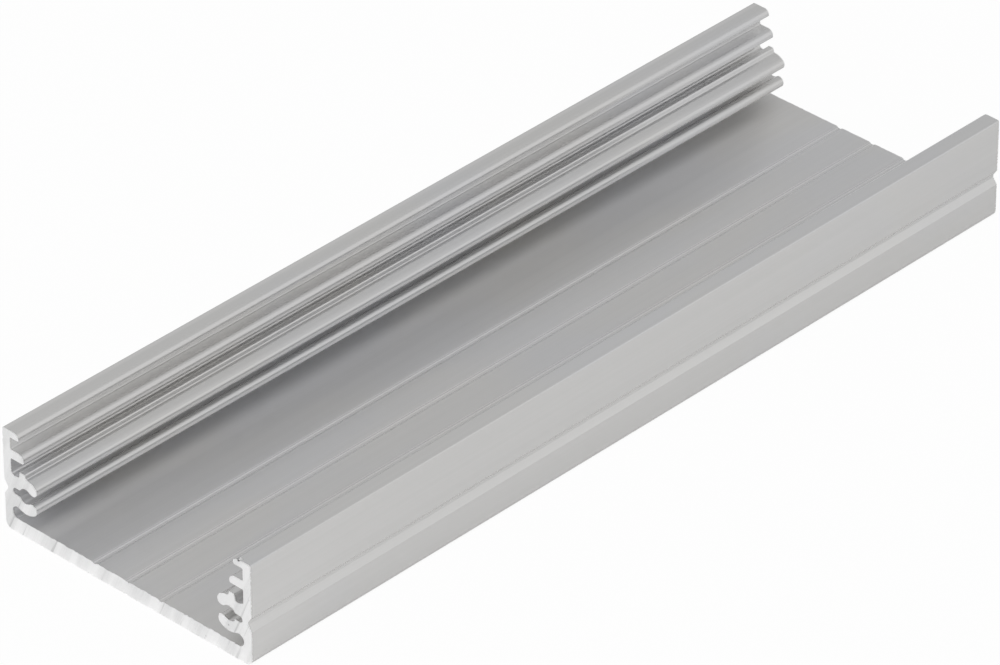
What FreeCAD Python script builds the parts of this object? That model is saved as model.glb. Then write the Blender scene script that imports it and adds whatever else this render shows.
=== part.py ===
import FreeCAD, Part

import math
import os

# A wide, low channel of extruded aluminium for a strip of light. It is one piece: the die gives
# it its whole section, and a saw cuts it to length.
# The section lies in XZ and the length runs along Y. The origin is under the middle of the floor.
# All sizes are in millimetres and all angles in degrees.

# Length between the two saw cuts, and width over the two side walls
profile_length = 160.0
profile_width = 50.0

# Walls of the channel and the roundings of its outside and of its slots' roots
wall_thickness = 1.5
floor_thickness = 2.4
bottom_edge_radius = 1.25
top_edge_radius = 0.25
root_radius = 0.25
lip_edge_radius = 0.2

# Lip at the top of each wall, which keeps the cover down
lip_projection = 1.8
lip_thickness = 1.15
lip_nose_radius = 0.95

# Slot that the cover slides into, and the rib that carries it
cover_slot_height = 2.15
rib_projection = 2.7
rib_thickness = 1.45
rib_nose_radius = 1.0
rib_edge_radius = 0.3

# Clip slot between the rib and the boss, closed towards the channel by a tab on the boss
clip_slot_opening = 1.7
clip_slot_depth = 1.1
clip_slot_width = 1.6
clip_slot_heel_radius = 0.65
clip_slot_toe_radius = 0.3
clip_slot_taper = 0.2
tab_height = 0.7
tab_width = 1.0
tab_edge_radius = 0.25
tab_flank_angle = 70.0
tab_foot_radius = 0.2

# Open boss along each wall: a screw at each end cuts its own thread into the port
port_radius = 1.3
boss_thickness = 1.75
upper_arm_angle = 49.0
lower_arm_angle = 53.0

# Relief slot that lets the boss spring open, from the port towards the wall
relief_width = 1.15
relief_depth = 1.35
relief_mouth_radius = 0.4
relief_backing = 0.25

# Round hollow under the boss, with room for the edge of a flat board that lies on the floor
board_pocket_radius = 1.05

# Groove along the outside of each wall, for a bracket or a clip
side_groove_width = 2.5
side_groove_root = 0.45
side_groove_depth = 0.7

# Centring lines along the floor: one in the middle and one on each side of it. Their flanks are
# round and meet a narrow flat root.
line_depth = 0.22
line_root_width = 0.4
line_flank_radius = 0.8
line_pitch = 6.7


# Points of the section. One half is drawn from u = 0 on the wall's outer face towards the
# middle, with v up from the base.
def spot(u, v):
    return FreeCAD.Vector(u, 0.0, v)


def polar(centre, radius, angle):
    """The point at an angle on a circle, counted from +u towards +v."""
    turn = math.radians(angle)
    return spot(centre.x + radius * math.cos(turn), centre.z + radius * math.sin(turn))


def bearing(start, end):
    """The angle of the way from one point to another, from 0 up to 360."""
    return math.degrees(math.atan2(end.z - start.z, end.x - start.x)) % 360.0


def corner(u, v, radius=0.0):
    """A corner of the outline, sharp or rounded."""
    return [spot(u, v)], radius


def arc(centre, radius, start_angle, end_angle):
    """A round stretch of the outline, through three of its points."""
    angles = (start_angle, (start_angle + end_angle) / 2.0, end_angle)
    return [polar(centre, radius, angle) for angle in angles], 0.0


def rounded(before, point, after, radius):
    """The arc that rounds a corner between two straight runs, as its three points."""
    back = (before - point).normalize()
    ahead = (after - point).normalize()
    half = back.getAngle(ahead) / 2.0
    run = radius / math.tan(half)
    inwards = (back + ahead).normalize()
    return [
        point + back * run,
        point + inwards * (radius / math.sin(half) - radius),
        point + ahead * run,
    ]


# Heights, from the base up: the pocket touches the floor, the wall and the boss, which sets the
# height of the boss, and the slots and ribs above it follow.
boss_radius = port_radius + boss_thickness
port_inset = wall_thickness + relief_backing + relief_depth + port_radius
pocket = spot(wall_thickness + board_pocket_radius, floor_thickness + board_pocket_radius)
port_rise = math.sqrt((boss_radius + board_pocket_radius) ** 2 - (port_inset - pocket.x) ** 2)
port = spot(port_inset, pocket.z + port_rise)
tab_top = port.z + boss_radius + tab_height
clip_slot_floor = tab_top - clip_slot_depth
rib_underside = tab_top + clip_slot_opening
rib_top = rib_underside + rib_thickness
lip_underside = rib_top + cover_slot_height
profile_height = lip_underside + lip_thickness
middle = profile_width / 2.0


def side_groove():
    """The shallow groove with a flat root, level with the port."""
    return [
        corner(0.0, port.z - side_groove_width / 2.0),
        corner(side_groove_depth, port.z - side_groove_root / 2.0),
        corner(side_groove_depth, port.z + side_groove_root / 2.0),
        corner(0.0, port.z + side_groove_width / 2.0),
    ]


def lip_and_rib():
    """The lip, the slot for the cover, and the rib under it."""
    lip_tip = wall_thickness + lip_projection
    rib_tip = wall_thickness + rib_projection
    return [
        corner(lip_tip, profile_height, lip_nose_radius),
        corner(lip_tip, lip_underside, lip_edge_radius),
        corner(wall_thickness, lip_underside, root_radius),
        corner(wall_thickness, rib_top, root_radius),
        corner(rib_tip, rib_top, rib_nose_radius),
        corner(rib_tip, rib_underside, rib_edge_radius),
        corner(wall_thickness, rib_underside, root_radius),
    ]


def clip_slot_and_tab():
    """The slot's floor and the tab, with the hollow rounding where its flank meets the boss."""
    toe = wall_thickness + clip_slot_width
    tab_heel = toe + clip_slot_taper
    tab_toe = tab_heel + tab_width
    slope = math.radians(tab_flank_angle)
    way = spot(math.cos(slope), -math.sin(slope))
    # The rounding's centre lies on a line beside the flank, one tab_foot_radius off it. From
    # the top it goes down that line until it is both radii away from the port.
    start = spot(tab_toe, tab_top) + spot(math.sin(slope), math.cos(slope)) * tab_foot_radius
    reach = start - port
    along = reach.dot(way)
    near = boss_radius + tab_foot_radius
    foot = start + way * (-along - math.sqrt(along**2 - reach.dot(reach) + near**2))
    return [
        corner(wall_thickness, clip_slot_floor, clip_slot_heel_radius),
        corner(toe, clip_slot_floor, clip_slot_toe_radius),
        corner(tab_heel, tab_top, tab_edge_radius),
        corner(tab_toe, tab_top, tab_edge_radius),
        arc(foot, tab_foot_radius, 270.0 - tab_flank_angle, bearing(foot, port)),
    ], bearing(port, foot)


def boss(tab_angle):
    """The boss as a letter C: outside, upper nose, port, relief slot, lower nose, underside.

    Its outside starts at the tab, at that angle from the port.
    """
    nose_radius = boss_thickness / 2.0
    upper_nose = polar(port, port_radius + nose_radius, upper_arm_angle)
    lower_nose = polar(port, port_radius + nose_radius, -lower_arm_angle)
    # The relief slot's mouth is rounded: each rounding touches the slot's side and the port
    half_relief = relief_width / 2.0
    mouth_rise = half_relief + relief_mouth_radius
    mouth_angle = math.degrees(math.asin(mouth_rise / (port_radius + relief_mouth_radius)))
    mouth_run = (port_radius + relief_mouth_radius) * math.cos(math.radians(mouth_angle))
    upper_mouth = spot(port.x - mouth_run, port.z + mouth_rise)
    lower_mouth = spot(port.x - mouth_run, port.z - mouth_rise)
    relief_end = spot(port.x - port_radius - relief_depth + half_relief, port.z)
    pocket_side = bearing(port, pocket) - 360.0
    return [
        arc(port, boss_radius, tab_angle, upper_arm_angle),
        arc(upper_nose, nose_radius, upper_arm_angle, upper_arm_angle - 180.0),
        arc(port, port_radius, upper_arm_angle, 180.0 - mouth_angle),
        arc(upper_mouth, relief_mouth_radius, -mouth_angle, -90.0),
        arc(relief_end, half_relief, 90.0, 270.0),
        arc(lower_mouth, relief_mouth_radius, 90.0, mouth_angle),
        arc(port, port_radius, 180.0 + mouth_angle, 360.0 - lower_arm_angle),
        arc(lower_nose, nose_radius, 180.0 - lower_arm_angle, -lower_arm_angle),
        arc(port, boss_radius, -lower_arm_angle, pocket_side),
        arc(pocket, board_pocket_radius, bearing(pocket, port), 270.0),
    ]


def centring_line(u):
    """A shallow groove in the floor: a round flank down to the flat root, and one up again."""
    turn = math.degrees(math.acos(1.0 - line_depth / line_flank_radius))
    out = line_root_width / 2.0 + line_flank_radius * math.sin(math.radians(turn))
    level = floor_thickness - line_flank_radius
    return [
        arc(spot(u - out, level), line_flank_radius, 90.0, 90.0 - turn),
        arc(spot(u + out, level), line_flank_radius, 90.0 + turn, 90.0),
    ]


def half_section():
    """Half the outline, from the bottom edge up the outside and down again to the floor."""
    slot, tab_angle = clip_slot_and_tab()
    return (
        [corner(0.0, 0.0, bottom_edge_radius)]
        + side_groove()
        + [corner(0.0, profile_height, top_edge_radius)]
        + lip_and_rib()
        + slot
        + boss(tab_angle)
        + centring_line(middle - line_pitch)
        + centring_line(middle)[:1]
    )


def mirrored(outline):
    """The same stretches on the other side of the middle, in the order that closes the outline."""
    return [
        ([spot(2.0 * middle - point.x, point.z) for point in reversed(points)], radius)
        for points, radius in reversed(outline)
    ]


def section():
    """The whole section as a face, centred on X = 0."""
    left = half_section()
    outline = left + mirrored(left)
    stretches = []
    for index, (points, radius) in enumerate(outline):
        if radius > 0.0:
            before = outline[index - 1][0][-1]
            after = outline[(index + 1) % len(outline)][0][0]
            points = rounded(before, points[0], after, radius)
        stretches.append([point - spot(middle, 0.0) for point in points])
    edges = []
    for index, points in enumerate(stretches):
        start = stretches[index - 1][-1]
        if not start.isEqual(points[0], 1e-7):
            edges.append(Part.LineSegment(start, points[0]).toShape())
        if len(points) == 3:
            edges.append(Part.Arc(*points).toShape())
    return Part.Face(Part.Wire(edges))


def channel_profile():
    """The section pushed along the length, half of it each way."""
    face = section()
    face.translate(FreeCAD.Vector(0.0, -profile_length / 2.0, 0.0))
    return face.extrude(FreeCAD.Vector(0.0, profile_length, 0.0))


os.makedirs("parts", exist_ok=True)
channel_profile().exportStep("parts/channel_profile.step")
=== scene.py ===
import math
import random

import bmesh
import bpy
from mathutils import Matrix, Vector
from mathutils.geometry import delaunay_2d_cdt


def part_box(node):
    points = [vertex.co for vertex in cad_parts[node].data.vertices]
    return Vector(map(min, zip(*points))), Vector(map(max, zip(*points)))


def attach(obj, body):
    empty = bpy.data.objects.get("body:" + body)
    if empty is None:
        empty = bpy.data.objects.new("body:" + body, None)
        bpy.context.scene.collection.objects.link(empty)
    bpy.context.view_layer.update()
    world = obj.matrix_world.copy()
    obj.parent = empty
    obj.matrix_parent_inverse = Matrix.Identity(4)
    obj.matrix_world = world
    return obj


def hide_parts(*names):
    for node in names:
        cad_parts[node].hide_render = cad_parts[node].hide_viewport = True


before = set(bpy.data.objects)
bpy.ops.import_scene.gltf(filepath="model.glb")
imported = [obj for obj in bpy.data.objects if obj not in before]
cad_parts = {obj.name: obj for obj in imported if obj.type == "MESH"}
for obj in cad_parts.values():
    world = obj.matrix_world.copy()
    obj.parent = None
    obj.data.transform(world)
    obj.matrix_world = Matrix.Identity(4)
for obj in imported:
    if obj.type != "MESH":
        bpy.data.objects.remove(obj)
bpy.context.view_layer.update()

# The channel. It is one length of aluminium, pushed hot through a steel die that gives it the
# whole section, then stretched straight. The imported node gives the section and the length. Its
# straight stretches are cut finer here, so that the saw can leave its marks on both ends.
MM = 0.001
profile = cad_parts["channel_profile"]
low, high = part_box("channel_profile")
length = high.y - low.y
longest_run = 0.22 * MM
from_cut = [step * MM for step in (0.0, 0.10, 0.25, 0.6, 1.4, 3.5, 8.0)]     # rings behind each cut
rings_between = 9


def place_key(point):
    """A place of the section, rounded so that it is the same for two runs that meet there."""
    return round(point.x, 7), round(point.z, 7)


def section_runs(mesh, end):
    """The outline at one end as short runs in order: (start, stop, normal here, normal there)."""
    at_end = 1e-6
    found = {}
    for face in mesh.polygons:
        loops = list(face.loop_indices)
        for pair in zip(loops, loops[1:] + loops[:1]):
            start, stop = (mesh.vertices[mesh.loops[i].vertex_index].co.copy() for i in pair)
            on_side = abs(face.normal.y) < 0.5
            if on_side and abs(start.y - end) < at_end and abs(stop.y - end) < at_end:
                here, there = (mesh.corner_normals[i].vector.copy() for i in pair)
                found[place_key(start)] = (start, stop, here, there)
    chain = [found.pop(next(iter(found)))]
    while found:
        chain.append(found.pop(place_key(chain[-1][1])))
    return chain


def divided(outline, longest):
    """The same outline, with its long straight runs cut into even shorter ones."""
    parts = []
    for start, stop, here, there in outline:
        pieces = max(1, math.ceil((stop - start).length / longest))
        for k in range(pieces):
            t, u = k / pieces, (k + 1) / pieces
            normals = here.lerp(there, t), here.lerp(there, u)
            parts.append((start.lerp(stop, t), start.lerp(stop, u), *normals))
    return parts


runs = divided(section_runs(profile.data, low.y), longest_run)
count = len(runs)
points = [run[0] for run in runs]
outward = [(runs[i][2] + runs[i - 1][3]).normalized() for i in range(count)]

# The two sawn ends. The teeth of the saw leave straight marks across the section, all at one
# slant, so an end is a row of narrow flats with small steps between them. The saw also tears
# the edge a little where it leaves the metal.
draw = random.Random(7)
saw_slant = math.radians(66.0)
saw_across = Vector((math.sin(saw_slant), 0.0, -math.cos(saw_slant)))
saw_along = Vector((math.cos(saw_slant), 0.0, math.sin(saw_slant)))
mark_widths = (0.25, 0.35, 0.5, 0.8, 1.3)                   # mm
deepest_mark = 0.04 * MM
deepest_hair = 0.02 * MM
near_tooth, far_tooth = 0.19 * MM, 0.04 * MM
wall_margin, top_margin = 1.6 * MM, 0.5 * MM                # no teeth this near to the outside
nick_radius = 0.45 * MM
nicks = (                                                   # x, z and depth, all in mm
    (-25.0, 15.6, 0.22),
    (-25.0, 16.9, 0.10),
    (21.8, 16.8, -0.17),
)
gap_nick = (22.7, 17.3, 0.34)
gap_middle, gap_radius = (22.72, 17.25), 0.3 * MM
gap_rings = 3


def saw_marks(first, last):
    """Where the marks lie across the section, and how deep the cut is at each."""
    marks = [(first, 0.0)]
    while marks[-1][0] < last:
        width = draw.choice(mark_widths) * draw.uniform(0.8, 1.2) * MM
        marks.append((marks[-1][0] + width, draw.random() ** 1.5 * deepest_mark))
    return marks


def depth_at(marks, place):
    """How deep the cut is at a place across the section."""
    for (a, deep_a), (b, deep_b) in zip(marks, marks[1:]):
        if place <= b:
            return deep_a + (deep_b - deep_a) * (place - a) / (b - a)
    return marks[-1][1]


def torn_edge(tooth_height):
    """How far the edge is broken back at each point. Below zero it stands out as a burr.

    It is a hair everywhere. On the upper edges inside the channel the saw leaves small teeth.
    """
    back = [draw.random() ** 2 * deepest_hair for _ in range(count)]
    first = 0
    while first < count:
        tooth = range(first, min(first + draw.randint(1, 3), count))
        deep = draw.uniform(-1.0, 0.3) * tooth_height
        for i in tooth:
            inside = abs(points[i].x) < high.x - wall_margin and points[i].z < high.z - top_margin
            if inside and outward[i].z > 0.5:
                back[i] = deep * draw.uniform(0.5, 1.0)
        first = tooth.stop
    return back


def apart(point, x, z):
    """How far a point of the section is from a place given in mm."""
    return math.hypot(point.x - x * MM, point.z - z * MM)


def nick(back, x, z, deep):
    """One blow on the edge near a place of the section, or one burr where the depth is below zero."""
    for i, point in enumerate(points):
        near = 1.0 - apart(point, x, z) / nick_radius
        if near > 0.0:
            back[i] = deep * MM * near


middle_length = length - 2.0 * from_cut[-1]
stations = (
    from_cut
    + [from_cut[-1] + middle_length * (k + 1) / (rings_between + 1) for k in range(rings_between)]
    + [length - step for step in reversed(from_cut)]
)
last_row = len(stations) - 1
shape = bmesh.new()
side_run = shape.faces.layers.int.new("side_run")       # a side face's run, or what it is instead
TORN, NEAR_END, FAR_END, GAP = -1, -2, -3, -4
rings = []
for row, station in enumerate(stations):
    back, forth = [0.0] * count, [0.0] * count
    if row in (0, last_row):
        back = torn_edge(near_tooth if row == 0 else far_tooth)
    if row in (1, last_row - 1):
        forth = [draw.uniform(-0.6, 0.6) * from_cut[1] for _ in range(count)]
    if row == 0:
        for x, z, deep in nicks:
            nick(back, x, z, deep)
    if row < gap_rings:
        nick(back, *gap_nick)
    rings.append([
        shape.verts.new((p.x - n.x * b, low.y + station + f, p.z - n.z * b))
        for p, n, b, f in zip(points, outward, back, forth)
    ])
for row, (near, far) in enumerate(zip(rings, rings[1:])):
    for i in range(count):
        face = shape.faces.new((near[i], near[i - count + 1], far[i - count + 1], far[i]))
        face[side_run] = TORN if row in (0, last_row - 1) else i
        if row < gap_rings and apart(points[i], *gap_middle) < gap_radius:
            face[side_run] = TORN if row == gap_rings - 1 else GAP

for end, ring, inward in ((NEAR_END, rings[0][::-1], 1.0), (FAR_END, rings[-1], -1.0)):
    places = [vert.co.dot(saw_across) for vert in ring]
    marks = saw_marks(min(places) - MM, max(places) + MM)
    flat = [Vector((vert.co.x, vert.co.z)) for vert in ring]
    outline = [(i, (i + 1) % count) for i in range(count)]
    for corners in delaunay_2d_cdt(flat, outline, [], 1, 1e-9)[2]:
        face = shape.faces.new([ring[i] for i in corners][::1 if end == NEAR_END else -1])
        face[side_run] = end
    for place, _ in marks:
        flats = [face for face in shape.faces if face[side_run] == end]
        edges = dict.fromkeys(edge for face in flats for edge in face.edges)
        verts = dict.fromkeys(vert for face in flats for vert in face.verts)
        bmesh.ops.bisect_plane(
            shape, geom=[*verts, *edges, *flats], dist=1e-8,
            plane_co=saw_across * place, plane_no=saw_across,
        )
    for vert in {vert for face in shape.faces if face[side_run] == end for vert in face.verts}:
        vert.co.y += inward * depth_at(marks, vert.co.dot(saw_across))

# The one mesh of the channel. Its sides keep the normals of the CAD section, and its ends are flat.
channel_mesh = bpy.data.meshes.new("drawn_channel")
shape.to_mesh(channel_mesh)
kinds = [face[side_run] for face in shape.faces]
shape.free()
DRAWN_FINISH, SAW_FINISH, SHADE_FINISH = 0, 1, 2
corner_normals = []
for face, kind in zip(channel_mesh.polygons, kinds):
    face.material_index = DRAWN_FINISH if kind >= 0 else SHADE_FINISH if kind == GAP else SAW_FINISH
    face.use_smooth = True
    for loop in face.loop_indices:
        if kind < 0:
            corner_normals.append(face.normal)
            continue
        start, stop, here, there = runs[kind]
        way = stop - start
        corner = channel_mesh.vertices[channel_mesh.loops[loop].vertex_index].co
        corner_normals.append(here.lerp(there, (corner - start).dot(way) / way.length_squared))
channel_mesh.normals_split_custom_set(corner_normals)
channel = bpy.data.objects.new("drawn_channel", channel_mesh)
bpy.context.scene.collection.objects.link(channel)
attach(channel, "root")
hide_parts("channel_profile")


class Tone:
    """One output of a material's nodes. A sum or product of tones adds its own Math node.

    The first tone of a material has no output yet and only makes the others.
    """

    def __init__(self, tree, output=None):
        self.tree = tree
        self.output = output

    def node(self, kind, settings, inputs, out=0):
        """A new node: its settings are made first, then its inputs, as numbers or as links."""
        new = self.tree.nodes.new("ShaderNode" + kind)
        for name, value in settings.items():
            setattr(new, name, value)
        for name, value in inputs.items():
            if isinstance(value, Tone):
                self.tree.links.new(value.output, new.inputs[name])
            else:
                new.inputs[name].default_value = value
        return Tone(self.tree, new.outputs[out])

    def __add__(self, other):
        return self.node("Math", {"operation": "ADD"}, {0: self, 1: other})

    def __mul__(self, other):
        return self.node("Math", {"operation": "MULTIPLY"}, {0: self, 1: other})

    def __sub__(self, other):
        return self.node("Math", {"operation": "SUBTRACT"}, {0: self, 1: other})

    def __rsub__(self, other):
        return self.node("Math", {"operation": "SUBTRACT"}, {0: other, 1: self})

    __radd__ = __add__
    __rmul__ = __mul__


def metal(name):
    """A new metal material: its first tone and its Principled shader."""
    material = bpy.data.materials.new(name)
    material.use_nodes = True
    shader = material.node_tree.nodes["Principled BSDF"]
    shader.inputs["Metallic"].default_value = 0.68
    channel_mesh.materials.append(material)
    return Tone(material.node_tree), shader


def dress(shader, colour, rough, bump):
    """Links what changes over the surface to the shader."""
    for socket, value in (("Base Color", colour), ("Roughness", rough), ("Normal", bump)):
        value.tree.links.new(value.output, shader.inputs[socket])


# The finish of the drawn surfaces: bare metal as it comes from the die, satin grey, with fine
# lines along the whole length, a few deeper ones, a few specks, and faint cool and warm patches.
# The floor is a little rougher, with painted shade in a band along its left, beside the left wall,
# that fades towards the far end.
# The outer edge of the left lip and the tabs are painted lighter, as painted highlights, and the
# outsides of the walls are a little warmer.
tone, shader = metal("mill_finish")
place = tone.node("TexCoord", {}, {}, "Object")
cool, warm = (0.888, 0.889, 0.898, 1.0), (0.901, 0.895, 0.885, 1.0)
edge_highlight, tab_highlight, wall_warmer, floor_shade, dot_grey = 1.08, 0.07, 0.7, 0.10, 0.7
half_width, full_height = high.x / MM, high.z / MM          # these and the next are in mm
wall_inside, groove_bottom = half_width - 1.6, half_width - 0.7
highlight_from, highlight_to = 0.6 - half_width, 1.1 - half_width
tab_toe, tab_heel = 20.2, 22.1                              # on both sides of the middle
band_left, band_right, band_end = (-18.0, -13.0), (-10.0, -2.0), (45.0, 75.0)   # where it fades


def height_of(inner, outer, limit):
    """The highest point of the section between two distances from its middle, under a limit."""
    return max(p.z for p in points if inner * MM < abs(p.x) < outer * MM and p.z < limit * MM) / MM


floor_height = height_of(0.0, 15.0, 5.0)
tab_height = height_of(tab_toe, tab_heel, 11.5)


def drawn_lines(per_mm, per_mm_along):
    """Noise pulled out along the length into lines, per_mm of them to the millimetre."""
    scale = (per_mm / MM, per_mm_along / MM, per_mm / MM)
    spread = tone.node("VectorMath", {"operation": "MULTIPLY"}, {0: place, 1: scale})
    return tone.node("TexNoise", {}, {"Vector": spread, "Scale": 1.0, "Detail": 2.0})


def between(value, start, stop, first, last):
    """A value that goes evenly from first to last while another goes from start to stop."""
    return tone.node("MapRange", {}, {
        "Value": value, "From Min": start, "From Max": stop, "To Min": first, "To Max": last,
    }, "Result")


def over_mm(value, start, stop, first, last):
    """The same over a distance in millimetres."""
    return between(value, start * MM, stop * MM, first, last)


def within(value, start, stop):
    """One between two places in millimetres and nought outside them, with a short change over."""
    change = 0.05
    return over_mm(value, start - change, start, 0.0, 1.0) * over_mm(value, stop, stop + change, 1.0, 0.0)


def dots(per_mm, radius, feather):
    """Scattered round dots, darker than their ground of one. The radius is a share of a cell."""
    cells = tone.node("TexVoronoi", {}, {"Vector": place, "Scale": per_mm / MM})
    return between(cells, radius, radius + feather, dot_grey, 1.0)


fine = drawn_lines(5.0, 0.02)
coarse = drawn_lines(0.9, 0.006)
patches = between(drawn_lines(0.07, 0.03), 0.40, 0.60, 0.0, 1.0)
across, forwards, height_above = (tone.node("SeparateXYZ", {}, {0: place}, axis) for axis in "XYZ")
beside = tone.node("Math", {"operation": "ABSOLUTE"}, {0: across})
between_walls = over_mm(beside, wall_inside - 0.1, wall_inside, 1.0, 0.0)
on_floor = within(height_above, floor_height - 0.03, floor_height + 0.02) * between_walls
# Where the tops of the tabs are, which get a painted highlight below.
on_tab = within(beside, tab_toe, tab_heel) * within(height_above, tab_height - 0.24, tab_height + 0.04)
on_wall = over_mm(beside, groove_bottom - 0.1, groove_bottom, 0.0, wall_warmer)
on_wall = on_wall * within(height_above, 0.0, full_height - 0.3)
# Painted highlight: the outer edge of the left lip is made lighter than the rest.
lip_edge_highlight = over_mm(across, highlight_from, highlight_to, edge_highlight, 1.0)
# Painted shade: the floor is darker beside the left wall, and less so towards the open far end.
painted_floor_shade = over_mm(across, *band_left, 0.0, floor_shade) * over_mm(across, *band_right, 1.0, 0.0)
painted_floor_shade = painted_floor_shade * over_mm(forwards, *band_end, 1.0, 0.0)
grey = (0.925 + 0.05 * fine + 0.06 * coarse) * lip_edge_highlight * dots(0.06, 0.010, 0.006)
# The painted highlight on the tabs, together with the painted shade of the floor band from above.
grey = grey * (1.0 - painted_floor_shade * on_floor + tab_highlight * on_tab)
tint = tone.node("Mix", {"data_type": "RGBA"}, {0: patches + on_wall, 6: cool, 7: warm}, 2)
colour = tone.node("Mix", {"data_type": "RGBA", "blend_type": "MULTIPLY"}, {0: 1.0, 6: tint, 7: grey}, 2)
rough = 0.16 + 0.17 * on_floor + 0.02 * fine + 0.03 * coarse
bump = tone.node("Bump", {}, {"Strength": 1.0, "Distance": 0.0008 * MM, "Height": fine * 0.5 + coarse})
dress(shader, colour, rough, bump)

# The finish of the sawn ends: fresh bright metal, scored by the teeth along the slant.
tone, shader = metal("saw_finish")
place = tone.node("TexCoord", {}, {}, "Object")
across_saw, along_saw = (
    tone.node("VectorMath", {"operation": "DOT_PRODUCT"}, {0: place, 1: tuple(way)}, "Value")
    for way in (saw_across, saw_along)
)


def saw_scores(per_mm, detail):
    """Noise pulled out along the slant of the saw, per_mm scores to the millimetre across it."""
    spread = tone.node("CombineXYZ", {}, {"X": across_saw * (per_mm / MM), "Y": along_saw * (0.04 / MM)})
    return tone.node("TexNoise", {}, {"Vector": spread, "Scale": 1.0, "Detail": detail})


score = saw_scores(1.1, 4.0)
hair = saw_scores(5.0, 2.0)
bands = between(saw_scores(0.35, 1.0), 0.42, 0.58, 0.88, 0.99)
grain = tone.node("TexNoise", {}, {"Vector": place, "Scale": 3.0 / MM, "Detail": 2.0})
deep_scores = between(score, 0.31, 0.36, 0.80, 1.0)
grey = (bands - 0.13 + 0.10 * score + 0.11 * hair + 0.09 * grain) * deep_scores
grey = grey * dots(0.4, 0.05, 0.03)
bump = tone.node("Bump", {}, {"Strength": 1.0, "Distance": 0.01 * MM, "Height": score})
dress(shader, grey, 0.38 + 0.12 * score, bump)

# The small gap beside the burr on the right lip, in painted shade: dark grey where little light comes in.
tone, shader = metal("gap_shade")
shader.inputs["Base Color"].default_value = (0.16, 0.16, 0.16, 1.0)
shader.inputs["Roughness"].default_value = 0.6

# The floor it lies on: plain, pale and matt. The camera sees it nearly white, with a trace of what
# the channel shades on it, and the metal sees it a little lighter than it is.
half_floor = 3.0
white_to_camera, white_to_metal = 0.97, 0.06
signs = ((-1, -1), (1, -1), (1, 1), (-1, 1))
floor_mesh = bpy.data.meshes.new("floor")
floor_mesh.from_pydata([(x * half_floor, y * half_floor, 0.0) for x, y in signs], [], [(0, 1, 2, 3)])
floor = bpy.data.objects.new("floor", floor_mesh)
floor.location.z = low.z - 0.02 * MM
bpy.context.scene.collection.objects.link(floor)
floor_finish = bpy.data.materials.new("floor_paper")
floor_finish.use_nodes = True
tree = floor_finish.node_tree
tree.nodes.remove(tree.nodes["Principled BSDF"])
tone = Tone(tree)
to_camera = tone.node("LightPath", {}, {}, "Is Camera Ray")
to_metal = tone.node("LightPath", {}, {}, "Is Glossy Ray")
matt = tone.node("BsdfDiffuse", {}, {"Color": (0.9, 0.9, 0.9, 1.0)})
white = tone.node("Emission", {}, {"Color": (1.0, 1.0, 1.0, 1.0), "Strength": 1.0})
seen_white = to_camera * white_to_camera + to_metal * white_to_metal
paper = tone.node("MixShader", {}, {0: seen_white, 1: matt, 2: white})
tree.links.new(paper.output, tree.nodes["Material Output"].inputs["Surface"])
floor_mesh.materials.append(floor_finish)

# The studio: even walls that are brighter towards the right, and one wide soft lamp that stands
# low in front of the near end.
walls_left, walls_right = 0.44, 0.665
lamp_way, lamp_distance = Vector((-0.05, -0.95, 0.28)).normalized(), 1.2
studio = bpy.data.worlds.new("studio")
studio.use_nodes = True
bpy.context.scene.world = studio
tone = Tone(studio.node_tree)
way = tone.node("TexCoord", {}, {}, "Generated")
to_right = tone.node("VectorMath", {"operation": "DOT_PRODUCT"}, {0: way, 1: (1.0, 0.0, 0.0)}, "Value")
walls = tone.node("MapRange", {"interpolation_type": "SMOOTHSTEP"}, {
    "Value": to_right, "From Min": 0.12, "From Max": 0.60, "To Min": walls_left, "To Max": walls_right,
}, "Result")
background = studio.node_tree.nodes["Background"]
studio.node_tree.links.new(walls.output, background.inputs["Strength"])
background.inputs["Color"].default_value = (1.0, 1.0, 1.0, 1.0)

soft_box = bpy.data.lights.new("soft_box", "AREA")
soft_box.size = 0.9
soft_box.energy = 7.9
lamp = bpy.data.objects.new("soft_box", soft_box)
lamp_turn = lamp_way.to_track_quat("Z", "Y").to_matrix().to_4x4()
lamp.matrix_world = Matrix.Translation(lamp_way * lamp_distance) @ lamp_turn
bpy.context.scene.collection.objects.link(lamp)

# The camera: a long lens, from the right of the near end and well above.
azimuth, elevation, roll = math.radians(43.59), math.radians(33.71), math.radians(-0.10)
distance = 1141.54 * MM
aim = Vector((1.0, -4.36, 8.65)) * MM
flat_way = Vector((math.sin(azimuth), -math.cos(azimuth), 0.0))
away = flat_way * math.cos(elevation) + Vector((0.0, 0.0, math.sin(elevation)))
camera_data = bpy.data.cameras.new("camera")
camera_data.lens = 279.5
camera_data.clip_start = 0.1
camera = bpy.data.objects.new("camera", camera_data)
right = Vector((0.0, 0.0, 1.0)).cross(away).normalized()
turn = Matrix((right, away.cross(right), away)).transposed().to_4x4()
camera.matrix_world = Matrix.Translation(aim + away * distance) @ turn @ Matrix.Rotation(roll, 4, "Z")
bpy.context.scene.collection.objects.link(camera)
bpy.context.scene.camera = camera
bpy.context.scene.view_settings.view_transform = "Standard"
